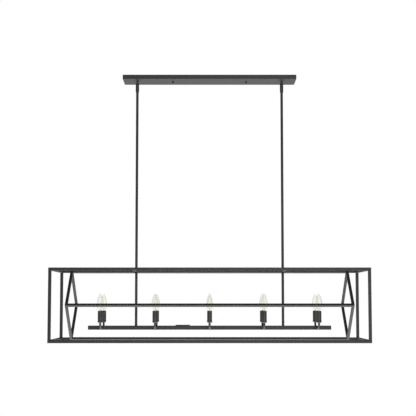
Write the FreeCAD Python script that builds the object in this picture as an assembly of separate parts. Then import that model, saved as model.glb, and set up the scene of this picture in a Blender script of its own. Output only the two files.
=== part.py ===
import FreeCAD, Part
import math
import os

# Linear island pendant. A long canopy hides a mounting bar on the ceiling, two ball swivels in the
# canopy carry two rods, and the rods carry an open box frame of square tube. Inside the box lie a
# prism frame with a diamond at each end and a light bar with ten candle lamps in two rows.
# Millimetres, +Z up, X along the light. The origin is the middle of the ceiling face, z = 0.

Vec = FreeCAD.Vector
X_AXIS = Vec(1, 0, 0)
Y_AXIS = Vec(0, 1, 0)
Z_AXIS = Vec(0, 0, 1)
SIDES = (-1, 1)

# ---- clearances ----
thread_clearance = 0.1        # each side, where a piece is screwed or slipped into another
swivel_clearance = 0.3        # between a ball and its seat, and under a lamp's glass
stud_clearance = 0.2          # each side, where the canopy slips over its studs
pick_margin = 0.001           # an edge this near to a plane counts as lying in it

# ---- canopy ----
canopy_length = 857.0
canopy_width = 118.0
canopy_depth = 21.0
canopy_wall = 1.2
canopy_corner = 3.0           # radius of the four upright corners
canopy_fold = 1.0             # radius of the folded lower edge

# ---- mounting bar, a shallow channel that the ceiling screws hold ----
mount_bar_length = 410.0
mount_bar_width = 38.0
mount_bar_wall = 2.0
mount_bar_lip = 8.0
box_screw_min = 69.9          # the two screw spacings of a ceiling outlet box
box_screw_max = 88.9
box_slot_width = 5.0
anchor_spacing = 300.0
anchor_hole = 5.5
stud_spacing = 364.8
stud_diameter = 4.0
stud_engagement = 5.5         # length of stud inside a cap nut
stud_nut_flats = 7.0
stud_nut_height = 3.2
cap_nut_diameter = 10.0
cap_nut_height = 8.0
ground_screw_place = 20.0
ground_screw_diameter = 4.0
ground_screw_head = 9.0
ground_screw_head_height = 2.6
ground_screw_length = 6.0     # from the bar down to the foot of the head, with room for a wire
ground_screw_grip = 1.5       # length of the screw inside the bar

# ---- ball swivels ----
rod_spacing = 720.0
ball_diameter = 16.0
ball_flat = 5.5               # height of the ball's flat top over its centre
swivel_hole = 13.2            # mouth of the seat, which the neck tilts in
seat_flange = 26.0
seat_height = 10.0
seat_spigot_wall = 2.0
neck_diameter = 7.6
neck_bore = 4.8
neck_visible = 7.5            # from the canopy to the coupler
neck_engagement = 12.5        # screwed into the coupler

# ---- couplers and rods ----
coupler_diameter = 17.0
coupler_length = 48.5
coupler_taper = 6.0
coupler_shoulder = 13.1       # from the coupler's top to the end of the rod inside it
coupler_lip = 0.5             # wall left at the foot of the taper
rod_diameter = 12.7
rod_wall = 1.5
rod_section = 304.8
rod_sections = 3
lower_rod_length = 263.7
nipple_wall = 1.4
nipple_engagement = 12.5      # length of a nipple inside each rod end

# ---- outer box frame ----
cage_length = 1524.0
cage_width = 355.6
cage_height = 355.6
cage_tube = 14.0
cage_wall = 1.2
cage_edge = 1.5               # rounded edge of the tube

# ---- inner prism frame ----
diamond_spacing = 1354.0      # between the middles of the two diamonds
prism_tube = 12.7
prism_wall = 1.2
prism_edge = 1.3
prism_inset = 4.4             # from the box's outer planes in to the diamond's points

# ---- light bar ----
bar_length = 1189.0
bar_tube = 20.0
bar_wall = 1.5
bar_edge = 2.5
end_cap_thickness = 1.5
end_cap_plug = 8.0
lock_nut_flats = 14.0
lock_nut_height = 3.0
cover_place = -130.5          # middle of the small cover on the bar
cover_length = 72.0
cover_width = 15.0
cover_height = 4.0
cover_wall = 1.0
cover_slope = 4.0             # run of the sloping end
cover_tab = 3.0               # depth of the tabs that hold the cover in its slot
cover_slot_margin = 8.0       # from the cover's ends in to the slot below it
cover_tab_gap = 1.9           # beside each tab in the slot

# ---- candles ----
stations = 5
station_pitch = 263.5
row_spacing = 146.0
arm_diameter = 10.0
arm_wall = 1.0
arm_bend = 22.0
arm_rise = 28.7               # from the bar's middle to the foot of the cups
arm_wire_hole = 4.0
cup_diameter = 25.4
cup_height = 5.0
cup_floor = 0.8
cup_cone = 5.5
cup_hub_wall = 0.6
sleeve_diameter = 23.8
sleeve_wall = 1.2
sleeve_height = 53.0
socket_diameter = 18.0
socket_recess = 2.0           # from the sleeve's top down to the socket
socket_well = 19.0            # depth of the hole for the lamp's base
socket_boss = 8.0             # length of the boss inside the arm
socket_wire_bore = 4.4

# ---- lamps ----
lamp_base_diameter = 11.9
lamp_base_length = 16.0
lamp_contact_diameter = 5.0
lamp_contact_height = 1.5
glass_diameter = 32.0
glass_length = 84.7
glass_neck = 12.8
glass_neck_length = 3.0
glass_widest = 31.0           # height of the widest part over the base
glass_nose = 4.0              # radius of the rounded tip
glass_wall = 0.7
stem_diameter = 6.0
stem_height = 13.0
stem_foot = 1.0               # the glass stem's foot over the base
support_spread = 9.0          # between the outsides of the two support wires, at their tops
support_thickness = 0.9
support_height = 12.0         # from the stem to the top of the lit coil
filament_thickness = 1.3

# ---- wiring ----
harness_diameter = 3.2
harness_bend = 4.0
harness_end_gap = 30.0        # from the bar's ends to the harness's ends
arm_lead_diameter = 2.4
supply_lead_diameter = 3.0
supply_lead_bend = 6.0
supply_lead_height = 5.0      # below the ceiling, where a lead passes over its ball
supply_lead_edge = 11.0       # from the canopy's back wall to the nearest lead
connector_diameter = 12.0
connector_tip = 9.0
connector_length = 20.0
connector_place = 58.0
connector_row = 10.0

# ---- places worked out from the sizes above ----
rod_places = [side * rod_spacing / 2 for side in SIDES]
canopy_under = -canopy_depth
canopy_floor = canopy_under + canopy_wall
seat_radius = ball_diameter / 2 + swivel_clearance
ball_rise = math.sqrt(seat_radius ** 2 - (swivel_hole / 2) ** 2)
ball_centre = canopy_under + ball_rise
coupler_top = canopy_under - neck_visible
coupler_bottom = coupler_top - coupler_length
rod_top = coupler_top - coupler_shoulder
rod_bore = rod_diameter / 2 - rod_wall
nipple_radius = rod_bore - thread_clearance
cage_top = rod_top - rod_sections * rod_section
cage_middle = cage_top - cage_height / 2
crossbar_under = cage_top - cage_tube
prism_point = cage_height / 2 - prism_inset
prism_reach = prism_point - prism_tube / math.sqrt(2)
bar_top = crossbar_under - lower_rod_length
bar_middle = bar_top - bar_tube / 2
bar_floor = bar_top - bar_tube + bar_wall
cover_slot_half = cover_width / 2 - cover_wall - thread_clearance
cup_foot = bar_middle + arm_rise
cup_seat = cup_foot + cup_floor
sleeve_top = cup_seat + sleeve_height
socket_top = sleeve_top - socket_recess
glass_foot = socket_top + swivel_clearance
station_places = [(n - (stations - 1) / 2) * station_pitch for n in range(stations)]
candle_rows = [side * row_spacing / 2 for side in SIDES]
candle_places = [(x, y) for y in candle_rows for x in station_places]
harness_level = bar_floor + harness_diameter / 2 + thread_clearance
connector_end = connector_place + connector_length / 2
connector_axis = canopy_floor + connector_diameter / 2 + thread_clearance
connector_spots = [(-1, connector_row), (-1, -connector_row), (1, connector_row)]
supply_lead_pitch = 2 * supply_lead_diameter     # between leads that lie side by side
supply_lead_fall = 2 * seat_flange               # run in which a lead drops to the canopy's floor
supply_lead_entry = 2 * supply_lead_bend         # run in which a lead comes up to its connector


def save(name, *solids):
    """Write one named piece, or one group of like pieces, to its own file."""
    shape = solids[0] if len(solids) == 1 else Part.makeCompound(list(solids))
    shape.exportStep("parts/" + name + ".step")


def block(x_range, y_range, z_range):
    """Rectangular block between three pairs of limits."""
    size = [high - low for low, high in (x_range, y_range, z_range)]
    return Part.makeBox(*size, Vec(x_range[0], y_range[0], z_range[0]))


def cylinder(diameter, low, high, x=0.0, y=0.0):
    """Upright cylinder between two heights."""
    return Part.makeCylinder(diameter / 2, high - low, Vec(x, y, low), Z_AXIS)


def pipe(diameter, bore, low, high, x=0.0, y=0.0):
    """Upright round tube between two heights."""
    return cylinder(diameter, low, high, x, y).cut(cylinder(bore, low, high, x, y))


def turned(points, x=0.0, y=0.0, z=0.0):
    """Solid turned about an upright axis from a closed outline of (radius, height) points.

    A point given as (radius, height, "arc") is the middle of an arc between its neighbours.
    """
    place = [Vec(p[0], 0, p[1]) for p in points]
    edges = []
    count = len(points)
    for n in range(count):
        after = (n + 1) % count
        if len(points[n]) == 3:
            edges.append(Part.Arc(place[n - 1], place[n], place[after]).toShape())
        elif len(points[after]) == 2:
            edges.append(Part.LineSegment(place[n], place[after]).toShape())
    solid = Part.Face(Part.Wire(edges)).revolve(Vec(0, 0, 0), Z_AXIS, 360)
    solid.translate(Vec(x, y, z))
    return solid


def hexagon(flats, bore, low, high, x, y=0.0):
    """Upright hexagon nut with a plain bore."""
    corner = flats / 2 / math.cos(math.radians(30))
    angles = [math.radians(60 * n) for n in range(7)]
    outline = [Vec(x + corner * math.cos(a), y + corner * math.sin(a), low) for a in angles]
    prism = Part.Face(Part.makePolygon(outline)).extrude(Z_AXIS * (high - low))
    return prism.cut(cylinder(bore, low, high, x, y))


def square_outline(centre, side, up, size, edge):
    """Closed square outline with rounded corners, around a centre, along two directions."""
    half = size / 2
    flat = half - edge
    middle = flat + edge / math.sqrt(2)
    edges = []
    for turn in range(4):
        start = centre + side * half - up * flat
        end = centre + side * half + up * flat
        edges.append(Part.LineSegment(start, end).toShape())
        if edge > 0:
            bend = centre + side * middle + up * middle
            last = centre + side * flat + up * half
            edges.append(Part.Arc(end, bend, last).toShape())
        side, up = up, side * -1
    return Part.Wire(edges)


def square_tube(start, end, up, size, wall, edge):
    """Square tube between two points, with two of its faces square to the direction up."""
    side = (end - start).cross(up).normalize()
    outer = square_outline(start, side, up, size, edge)
    inner = square_outline(start, side, up, size - 2 * wall, 0.0)
    inner.reverse()
    return Part.Face([outer, inner]).extrude(end - start)


def mitred_tube(start, end, turn_start, turn_end, up, size, wall, edge):
    """Square tube between two frame corners, cut at 45 degrees to meet its neighbours there.

    turn_start and turn_end are the directions in which the neighbours leave the corners.
    """
    along = (end - start).normalize()
    tube = square_tube(start - along * size, end + along * size, up, size, wall, edge)
    clear = 3 * size          # wide and deep enough to take the whole end off
    for corner, normal in ((start, turn_start - along), (end, turn_end + along)):
        tube = tube.cut(Part.makeCylinder(clear, clear, corner, normal))
    return tube


def rounded_path(points, bend):
    """Straight runs joined by tangent arcs of one radius."""
    edges = []
    start = points[0]
    for before, corner, after in zip(points, points[1:], points[2:]):
        back = (before - corner).normalize()
        ahead = (after - corner).normalize()
        half = back.getAngle(ahead) / 2
        first = corner + back * (bend / math.tan(half))
        last = corner + ahead * (bend / math.tan(half))
        middle = corner + (back + ahead).normalize() * (bend / math.sin(half) - bend)
        edges.append(Part.LineSegment(start, first).toShape())
        edges.append(Part.Arc(first, middle, last).toShape())
        start = last
    edges.append(Part.LineSegment(start, points[-1]).toShape())
    return Part.Wire(edges)


def round_run(points, bend, diameter):
    """Round wire or rod along straight runs and tangent arcs."""
    ring = Part.Wire([Part.makeCircle(diameter / 2, points[0], points[1] - points[0])])
    return rounded_path(points, bend).makePipeShell([ring], True, False)


# ---- ceiling fittings ----

def mounting_bar():
    """Channel with slots for the outlet box screws, anchor holes and holes for the two studs."""
    half_length = mount_bar_length / 2
    half_width = mount_bar_width / 2
    inner = half_width - mount_bar_wall
    bar = block((-half_length, half_length), (-half_width, half_width), (-mount_bar_lip, 0))
    top_edges = [e for e in bar.Edges if e.BoundBox.ZMin > -pick_margin]
    folds = [e for e in top_edges if e.BoundBox.XLength > half_length]
    bar = bar.makeFillet(mount_bar_wall, folds)
    channel = block((-half_length, half_length), (-inner, inner), (-mount_bar_lip, -mount_bar_wall))
    bar = bar.cut(channel)
    slot_middle = (box_screw_min + box_screw_max) / 4
    slot_run = (box_screw_max - box_screw_min) / 4
    half_slot = box_slot_width / 2
    for side in SIDES:
        near, far = sorted((side * (slot_middle - slot_run), side * (slot_middle + slot_run)))
        bar = bar.cut(block((near, far), (-half_slot, half_slot), (-mount_bar_wall, 0)))
        for x in (near, far):
            bar = bar.cut(cylinder(box_slot_width, -mount_bar_wall, 0, x))
        bar = bar.cut(cylinder(anchor_hole, -mount_bar_wall, 0, side * anchor_spacing / 2))
        stud_hole = stud_diameter + 2 * thread_clearance
        bar = bar.cut(cylinder(stud_hole, -mount_bar_wall, 0, side * stud_spacing / 2))
    screw_hole = ground_screw_diameter + 2 * thread_clearance
    return bar.cut(cylinder(screw_hole, -mount_bar_wall, 0, ground_screw_place))


def mounting_studs():
    """Two threaded studs that hang from the bar and come out through the canopy."""
    low = canopy_under - stud_engagement
    return [cylinder(stud_diameter, low, 0, side * stud_spacing / 2) for side in SIDES]


def stud_nuts():
    """Nuts that lock the studs under the bar."""
    bore = stud_diameter + 2 * thread_clearance
    low = -mount_bar_wall - stud_nut_height
    places = [side * stud_spacing / 2 for side in SIDES]
    return [hexagon(stud_nut_flats, bore, low, -mount_bar_wall, x) for x in places]


def ground_screw():
    """Screw for the earth wire, its head below the bar and its end inside it."""
    foot = -mount_bar_wall - ground_screw_length
    head_top = foot + ground_screw_head_height
    end = -mount_bar_wall + ground_screw_grip
    head = cylinder(ground_screw_head, foot, head_top, ground_screw_place)
    shank = cylinder(ground_screw_diameter, head_top, end, ground_screw_place)
    return head.fuse(shank)


def canopy():
    """Folded steel tray, open to the ceiling, with holes for the swivel seats and the studs."""
    half_length = canopy_length / 2
    half_width = canopy_width / 2
    tray = block((-half_length, half_length), (-half_width, half_width), (canopy_under, 0))
    corners = [e for e in tray.Edges if e.BoundBox.ZLength > canopy_depth / 2]
    tray = tray.makeFillet(canopy_corner, corners)
    lower_edges = [e for e in tray.Edges if e.BoundBox.ZMax < canopy_under + pick_margin]
    tray = tray.makeFillet(canopy_fold, lower_edges)
    inner_length = half_length - canopy_wall
    inner_width = half_width - canopy_wall
    hollow = block((-inner_length, inner_length), (-inner_width, inner_width), (canopy_floor, 0))
    corners = [e for e in hollow.Edges if e.BoundBox.ZLength > canopy_depth / 2]
    tray = tray.cut(hollow.makeFillet(canopy_corner - canopy_wall, corners))
    seat_hole = swivel_hole + 2 * seat_spigot_wall + 2 * thread_clearance
    stud_hole = stud_diameter + 2 * stud_clearance
    for side in SIDES:
        tray = tray.cut(cylinder(seat_hole, canopy_under, canopy_floor, side * rod_spacing / 2))
        tray = tray.cut(cylinder(stud_hole, canopy_under, canopy_floor, side * stud_spacing / 2))
    return tray


def canopy_cap_nuts():
    """Two domed nuts that pull the canopy up against the ceiling."""
    radius = cap_nut_diameter / 2
    bore = stud_diameter / 2 + thread_clearance
    rim = cap_nut_height - radius
    depth = stud_engagement + thread_clearance
    outline = [(bore, 0), (radius, 0), (radius, -rim),
               (radius * math.sqrt(0.5), -rim - radius * math.sqrt(0.5), "arc"),
               (0, -cap_nut_height), (0, -depth), (bore, -depth)]
    return [turned(outline, side * stud_spacing / 2, 0, canopy_under) for side in SIDES]


def swivel_seats():
    """Flanged rings that lie on the canopy's floor and hold the balls in spherical cups."""
    flange = seat_flange / 2
    mouth = swivel_hole / 2
    spigot = mouth + seat_spigot_wall
    top = canopy_floor + seat_height
    middle = -ball_rise / 2
    cup_middle = (math.sqrt(seat_radius ** 2 - middle ** 2), ball_centre + middle, "arc")
    outline = [(mouth, canopy_under), (spigot, canopy_under), (spigot, canopy_floor),
               (flange, canopy_floor), (flange, top), (seat_radius, top), (seat_radius, ball_centre),
               cup_middle]
    return [turned(outline, x) for x in rod_places]


# ---- swivels and rods ----

def swivel_balls():
    """Balls with a hollow neck that screws into the coupler below."""
    neck_low = coupler_top - neck_engagement
    pieces = []
    for x in rod_places:
        ball = Part.makeSphere(ball_diameter / 2, Vec(x, 0, ball_centre))
        crown = cylinder(ball_diameter, ball_centre + ball_flat, ball_centre + ball_diameter, x)
        ball = ball.cut(crown).fuse(cylinder(neck_diameter, neck_low, ball_centre, x))
        pieces.append(ball.cut(cylinder(neck_bore, neck_low, ball_centre + ball_diameter, x)))
    return pieces


def rod_couplers():
    """Turned couplers with a tapered foot, screwed to the neck above and round the rod below."""
    outer = coupler_diameter / 2
    rod_hole = rod_diameter / 2 + thread_clearance
    neck_hole = neck_diameter / 2 + thread_clearance
    outline = [(neck_hole, coupler_top), (outer - coupler_lip, coupler_top),
               (outer, coupler_top - coupler_lip), (outer, coupler_bottom + coupler_taper),
               (rod_hole + coupler_lip, coupler_bottom), (rod_hole, coupler_bottom),
               (rod_hole, rod_top), (neck_hole, rod_top)]
    return [turned(outline, x) for x in rod_places]


def upper_rods():
    """The rod sections of each side, numbered from the top, as name and solid."""
    pieces = []
    for side_name, x in zip(("left", "right"), rod_places):
        for n in range(rod_sections):
            top = rod_top - n * rod_section
            rod = pipe(rod_diameter, 2 * rod_bore, top - rod_section, top, x)
            pieces.append(("rod_" + str(n + 1) + "_" + side_name, rod))
    return pieces


def lower_rods():
    """Rods from the box frame's cross bars down to the light bar."""
    return [pipe(rod_diameter, 2 * rod_bore, bar_top, crossbar_under, x) for x in rod_places]


def nipple(middle, length, x):
    """Short threaded pipe around a height."""
    bore = 2 * (nipple_radius - nipple_wall)
    return pipe(2 * nipple_radius, bore, middle - length / 2, middle + length / 2, x)


def rod_nipples():
    """Nipples that join the rod sections, and the lower rods to the light bar."""
    joints = [rod_top - n * rod_section for n in range(1, rod_sections)] + [bar_top]
    return [nipple(z, 2 * nipple_engagement, x) for x in rod_places for z in joints]


def crossbar_nipples():
    """Longer nipples that pass through the cross bars and join the rods above and below."""
    length = cage_tube + 2 * nipple_engagement
    return [nipple(cage_top - cage_tube / 2, length, x) for x in rod_places]


# ---- outer box frame ----

def cage_frame():
    """The twelve tubes of the box frame, as name and solid."""
    x = (cage_length - cage_tube) / 2
    y = (cage_width - cage_tube) / 2
    pieces = []
    levels = (("top", cage_top - cage_tube / 2), ("bottom", cage_top - cage_height + cage_tube / 2))
    for level, z in levels:
        for name, side in (("front", -1), ("back", 1)):
            inward = Y_AXIS * -side
            rail = mitred_tube(Vec(-x, side * y, z), Vec(x, side * y, z), inward, inward,
                               Z_AXIS, cage_tube, cage_wall, cage_edge)
            pieces.append((name + "_" + level + "_rail", rail))
        for name, side in (("left", -1), ("right", 1)):
            inward = X_AXIS * -side
            rail = mitred_tube(Vec(side * x, -y, z), Vec(side * x, y, z), inward, inward,
                               Z_AXIS, cage_tube, cage_wall, cage_edge)
            pieces.append((name + "_" + level + "_rail", rail))
    low = cage_top - cage_height + cage_tube
    for depth_name, depth in (("front", -1), ("back", 1)):
        for side_name, side in (("left", -1), ("right", 1)):
            foot = Vec(side * x, depth * y, low)
            head = Vec(side * x, depth * y, cage_top - cage_tube)
            post = square_tube(foot, head, X_AXIS, cage_tube, cage_wall, cage_edge)
            pieces.append((depth_name + "_" + side_name + "_post", post))
    return pieces


def crossbar(x):
    """Tube across the top of the box frame, drilled for the nipple of one rod."""
    y = cage_width / 2 - cage_tube
    z = cage_top - cage_tube / 2
    bar = square_tube(Vec(x, -y, z), Vec(x, y, z), Z_AXIS, cage_tube, cage_wall, cage_edge)
    hole = 2 * (nipple_radius + thread_clearance)
    return bar.cut(cylinder(hole, crossbar_under, cage_top, x))


# ---- inner prism frame ----

def diamond(x):
    """Four mitred tubes that stand on a corner, in a plane across the light."""
    reach = prism_reach
    corners = ((0, reach), (-reach, 0), (0, -reach), (reach, 0))
    points = [Vec(x, y, cage_middle + z) for y, z in corners]
    legs = []
    for n in range(4):
        before, start, end, after = [points[(n + k) % 4] for k in (-1, 0, 1, 2)]
        turn_start = (before - start).normalize()
        turn_end = (after - end).normalize()
        legs.append(mitred_tube(start, end, turn_start, turn_end,
                                X_AXIS, prism_tube, prism_wall, prism_edge))
    return legs


def prism_rail(y, z, ends):
    """Tubes on edge along the light at one point of the diamonds, between pairs of x values."""
    up = Vec(0, 1, 1).normalize()
    return [square_tube(Vec(low, y, cage_middle + z), Vec(high, y, cage_middle + z),
                        up, prism_tube, prism_wall, prism_edge) for low, high in ends]


def prism_rails():
    """The four rails of the prism. The top one is in three lengths, between the cross bars."""
    end = (diamond_spacing - prism_tube) / 2
    left_bar, right_bar = rod_places
    half_tube = cage_tube / 2
    whole = [(-end, end)]
    parted = [(-end, left_bar - half_tube), (left_bar + half_tube, right_bar - half_tube),
              (right_bar + half_tube, end)]
    return {"prism_top_rail": prism_rail(0, prism_reach, parted),
            "prism_bottom_rail": prism_rail(0, -prism_reach, whole),
            "prism_front_rail": prism_rail(-prism_reach, 0, whole),
            "prism_back_rail": prism_rail(prism_reach, 0, whole)}


# ---- light bar ----

def cover_slot():
    """Limits along X of the wiring slot under the small cover."""
    half = cover_length / 2 - cover_slot_margin
    return cover_place - half, cover_place + half


def light_bar():
    """Square tube drilled for the arms and the rod nipples, with a wiring slot in its top."""
    half = bar_length / 2 - end_cap_thickness
    bar = square_tube(Vec(-half, 0, bar_middle), Vec(half, 0, bar_middle), Z_AXIS,
                      bar_tube, bar_wall, bar_edge)
    arm_hole = arm_diameter / 2 + thread_clearance
    for x in station_places:
        drill = Part.makeCylinder(arm_hole, bar_tube, Vec(x, -bar_tube / 2, bar_middle), Y_AXIS)
        bar = bar.cut(drill)
    nipple_hole = 2 * (nipple_radius + thread_clearance)
    for x in rod_places:
        bar = bar.cut(cylinder(nipple_hole, bar_top - bar_wall, bar_top, x))
    slot = block(cover_slot(), (-cover_slot_half, cover_slot_half), (bar_top - bar_wall, bar_top))
    return bar.cut(slot)


def bar_end_caps():
    """Square plugs that close the light bar."""
    plug = bar_tube - 2 * bar_wall - 2 * thread_clearance
    pieces = []
    for side in SIDES:
        outer = Vec(side * bar_length / 2, 0, bar_middle)
        face = outer - X_AXIS * side * end_cap_thickness
        tip = face - X_AXIS * side * end_cap_plug
        plate_outline = square_outline(face, Y_AXIS, Z_AXIS, bar_tube, bar_edge)
        plug_outline = square_outline(face, Y_AXIS, Z_AXIS, plug, 0.0)
        plate = Part.Face(plate_outline).extrude(outer - face)
        pieces.append(plate.fuse(Part.Face(plug_outline).extrude(tip - face)))
    return pieces


def bar_lock_nuts():
    """Nuts inside the light bar that hold it on the rod nipples."""
    top = bar_top - bar_wall
    bore = 2 * (nipple_radius + thread_clearance)
    return [hexagon(lock_nut_flats, bore, top - lock_nut_height, top, x) for x in rod_places]


def bar_top_cover():
    """Folded cover over the wiring slot, with a sloping end and two tabs in the slot."""
    low = cover_place - cover_length / 2
    high = cover_place + cover_length / 2
    half = cover_width / 2

    def wedge(inset, top, half_width):
        start = low + inset
        end = high - inset
        outline = [Vec(start, -half_width, bar_top), Vec(end, -half_width, bar_top),
                   Vec(end - cover_slope, -half_width, top), Vec(start, -half_width, top)]
        return Part.Face(Part.makePolygon(outline + outline[:1])).extrude(Y_AXIS * 2 * half_width)

    cover = wedge(0, bar_top + cover_height, half)
    cover = cover.cut(wedge(cover_wall, bar_top + cover_height - cover_wall, half - cover_wall))
    tab_half = cover_slot_half - cover_tab_gap
    roof = bar_top + cover_height - cover_wall / 2
    slot_low, slot_high = cover_slot()
    tab_starts = (slot_low + thread_clearance, slot_high - thread_clearance - cover_wall)
    for start in tab_starts:
        tab = block((start, start + cover_wall), (-tab_half, tab_half), (bar_top - cover_tab, roof))
        cover = cover.fuse(tab)
    return cover.removeSplitter()


# ---- candles ----

def arm_points(x, end_height):
    """Corners of one arm's route, from the front candle through the bar to the back candle."""
    front, back = candle_rows
    return [Vec(x, front, end_height), Vec(x, front, bar_middle),
            Vec(x, back, bar_middle), Vec(x, back, end_height)]


def candle_arms():
    """One bent tube at each station, through the light bar and up to both candles."""
    bore = arm_diameter - 2 * arm_wall
    arms = []
    for x in station_places:
        points = arm_points(x, cup_seat)
        arm = round_run(points, arm_bend, arm_diameter).cut(round_run(points, arm_bend, bore))
        hole = cylinder(arm_wire_hole, bar_middle - arm_diameter, bar_middle, x)
        arms.append(arm.cut(hole))
    return arms


def socket_cups():
    """Turned cups with a cone down to the arm. Each holds the foot of one sleeve."""
    outer = cup_diameter / 2
    inner = sleeve_diameter / 2 + thread_clearance
    hub = arm_diameter / 2 + thread_clearance
    outline = [(hub, -cup_cone), (hub + cup_hub_wall, -cup_cone), (outer, 0), (outer, cup_height),
               (inner, cup_height), (inner, cup_floor), (hub, cup_floor)]
    return [turned(outline, x, y, cup_foot) for x, y in candle_places]


def candle_sleeves():
    """Plain tubes that cover the sockets."""
    bore = sleeve_diameter - 2 * sleeve_wall
    return [pipe(sleeve_diameter, bore, cup_seat, sleeve_top, x, y) for x, y in candle_places]


def lamp_sockets():
    """Sockets on the arm ends, each with a boss inside the arm and a well for the lamp's base."""
    outer = socket_diameter / 2
    wire = socket_wire_bore / 2
    boss = arm_diameter / 2 - arm_wall - thread_clearance
    well = lamp_base_diameter / 2 + swivel_clearance
    well_floor = socket_top - socket_well
    outline = [(wire, cup_seat - socket_boss), (boss, cup_seat - socket_boss), (boss, cup_seat),
               (outer, cup_seat), (outer, socket_top), (well, socket_top), (well, well_floor),
               (wire, well_floor)]
    return [turned(outline, x, y) for x, y in candle_places]


# ---- lamps ----

def glass_outline(wall):
    """Curved side of the lamp's glass, offset inwards by a wall, from the neck to the tip.

    A long arc runs from the widest part into the rounded tip, and another down to the neck.
    """
    widest = glass_diameter / 2 - wall
    neck = glass_neck / 2 - wall
    nose = glass_nose - wall
    nose_centre = glass_length - glass_nose
    rise = nose_centre - glass_widest
    upper_centre = ((widest - nose) ** 2 - rise ** 2) / (2 * (widest - nose))
    upper_radius = widest - upper_centre
    join_angle = math.atan2(rise, -upper_centre)
    join = (upper_centre + upper_radius * math.cos(join_angle),
            glass_widest + upper_radius * math.sin(join_angle))
    side_middle = (upper_centre + upper_radius * math.cos(join_angle / 2),
                   glass_widest + upper_radius * math.sin(join_angle / 2), "arc")
    nose_angle = (join_angle + math.pi / 2) / 2
    nose_middle = (nose * math.cos(nose_angle), nose_centre + nose * math.sin(nose_angle), "arc")
    fall = glass_widest - glass_neck_length
    lower_centre = (widest ** 2 - neck ** 2 - fall ** 2) / (2 * (widest - neck))
    lower_radius = widest - lower_centre
    lower_angle = math.asin(fall / lower_radius) / 2
    lower_middle = (lower_centre + lower_radius * math.cos(lower_angle),
                    glass_widest - lower_radius * math.sin(lower_angle), "arc")
    return [(neck, 0), (neck, glass_neck_length), lower_middle, (widest, glass_widest),
            side_middle, join, nose_middle, (0, nose_centre + nose)]


def lamp_base():
    """Screw base with its contact, closed at the top by a plug in the glass's neck."""
    plug = glass_neck / 2 - glass_wall - thread_clearance
    base = lamp_base_diameter / 2
    contact = lamp_contact_diameter / 2
    contact_top = lamp_contact_height - lamp_base_length
    cone_top = contact_top + lamp_contact_height
    return turned([(0, -lamp_base_length), (contact, -lamp_base_length), (contact, contact_top),
                   (base, cone_top), (base, 0), (plug, 0), (plug, stem_foot), (0, stem_foot)])


def lamp_mount():
    """Glass stem with two leaning support wires, and the lit coil between their tops."""
    stem_top = stem_foot + stem_height
    foot = support_thickness
    low = stem_top - foot
    high = stem_top + support_height
    lean = (support_spread / 2 - foot) / (high - low)
    width = support_thickness * math.sqrt(1 + lean ** 2)
    crotch = low + (width - foot) / lean
    coil_under = high - filament_thickness
    reach = (coil_under - crotch) * lean
    outer = [(-foot, low), (foot, low), (support_spread / 2, high), (-support_spread / 2, high)]
    inner = [(0, crotch), (reach, coil_under), (-reach, coil_under)]
    wires = []
    for outline in (outer, inner):
        places = [Vec(px, -support_thickness / 2, pz) for px, pz in outline + outline[:1]]
        wires.append(Part.makePolygon(places))
    loop = Part.Face(wires[0]).cut(Part.Face(wires[1])).extrude(Y_AXIS * support_thickness)
    stem = turned([(0, stem_foot), (stem_diameter / 2, stem_foot), (foot, stem_top), (0, stem_top)])
    return stem.fuse(loop)


def lamp(x, y):
    """Glass envelope, screw base and lit mount of one candle lamp."""
    glass = turned(glass_outline(0.0) + glass_outline(glass_wall)[::-1])
    pieces = [glass, lamp_base(), lamp_mount()]
    for piece in pieces:
        piece.translate(Vec(x, y, glass_foot))
    return pieces


# ---- wiring ----

def wiring_harness():
    """Cable down the left rod and along the light bar, and the leads inside the arms."""
    left = rod_places[0]
    half = bar_length / 2 - harness_end_gap
    cable = round_run([Vec(left, 0, ball_centre + ball_flat), Vec(left, 0, harness_level),
                       Vec(half, 0, harness_level)], harness_bend, harness_diameter)
    branch_start = left - harness_bend
    branch = round_run([Vec(-half, 0, harness_level), Vec(branch_start, 0, harness_level)],
                       harness_bend, harness_diameter)
    leads = []
    for x in station_places:
        points = arm_points(x, cup_seat - socket_boss)
        leads.append(round_run(points, arm_bend, arm_lead_diameter))
    return [cable, branch] + leads


def supply_leads():
    """Leads from over the balls, along the canopy's back edge to the connectors."""
    floor = canopy_floor + supply_lead_diameter / 2 + thread_clearance
    back = canopy_width / 2 - canopy_wall - supply_lead_edge
    leads = []
    for lane, (side, end_y) in zip((0, 1, 0), connector_spots):
        aside = lane * (supply_lead_diameter + thread_clearance)
        turn = seat_flange + supply_lead_bend + aside
        over = side * rod_spacing / 2
        y = back - lane * supply_lead_pitch
        points = [Vec(over, -aside, -supply_lead_height),
                  Vec(over - side * turn, -aside, -supply_lead_height),
                  Vec(over - side * (turn + supply_lead_fall), y, floor),
                  Vec(side * (connector_end + supply_lead_fall), y, floor),
                  Vec(side * (connector_end + supply_lead_entry), end_y, connector_axis),
                  Vec(side * connector_end, end_y, connector_axis)]
        leads.append(round_run(points, supply_lead_bend, supply_lead_diameter))
    return leads


def wire_connectors():
    """Twist-on connectors at the ends of the leads."""
    outline = [(0, 0), (connector_diameter / 2, 0), (connector_tip / 2, -connector_length),
               (0, -connector_length)]
    pieces = []
    for side, y in connector_spots:
        piece = turned(outline)
        piece.rotate(Vec(0, 0, 0), Y_AXIS, 90 * side)
        piece.translate(Vec(side * connector_end, y, connector_axis))
        pieces.append(piece)
    return pieces


os.makedirs("parts", exist_ok=True)

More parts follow.
